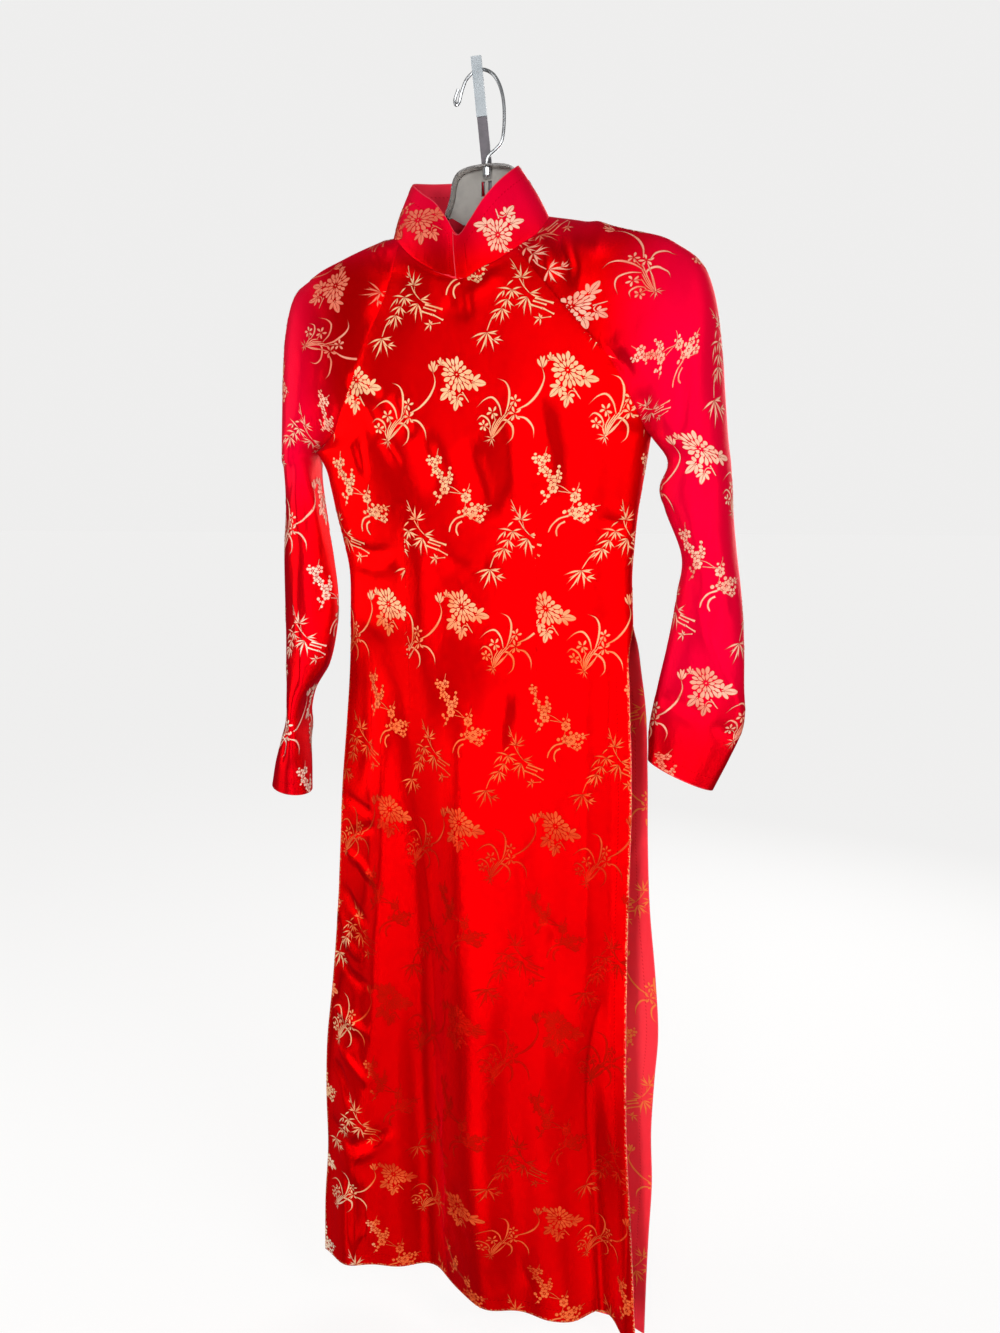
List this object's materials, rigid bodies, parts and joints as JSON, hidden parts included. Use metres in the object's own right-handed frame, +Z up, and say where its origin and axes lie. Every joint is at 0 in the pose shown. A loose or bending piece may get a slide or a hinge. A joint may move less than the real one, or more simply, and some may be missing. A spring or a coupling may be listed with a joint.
{
  "type": "ao dai style cheongsam dress on a metal hanger",
  "caption": "Long-sleeved fitted tunic dress with a tall stand collar, raglan sleeves and long side slits, hanging on a metal hanger from its open hook.",
  "frame": {"origin": "inside of the hook's crown, where the hanger hangs", "axes": "+X to the right as seen from the front, +Y to the back, +Z up"},
  "size_m": [0.5677, 0.1223, 1.438],
  "materials": {
    "red_brocade": "satin brocade with woven gold sprigs",
    "chrome": "polished",
    "grey_steel": "satin",
    "pale_plastic": "smooth"
  },
  "bodies": {
    "root": {"front_panel": "red_brocade", "back_panel": "red_brocade", "sleeve_left": "red_brocade", "sleeve_right": "red_brocade", "collar": "red_brocade", "hanger_hook": "chrome", "hanger_rim": "chrome", "hanger_ferrule": "chrome", "hanger_plate": "grey_steel", "hanger_arm_left": "grey_steel", "hanger_arm_right": "grey_steel", "hanger_bar": "grey_steel", "hanger_bar_grip": "pale_plastic"}
  },
  "joints": []
}
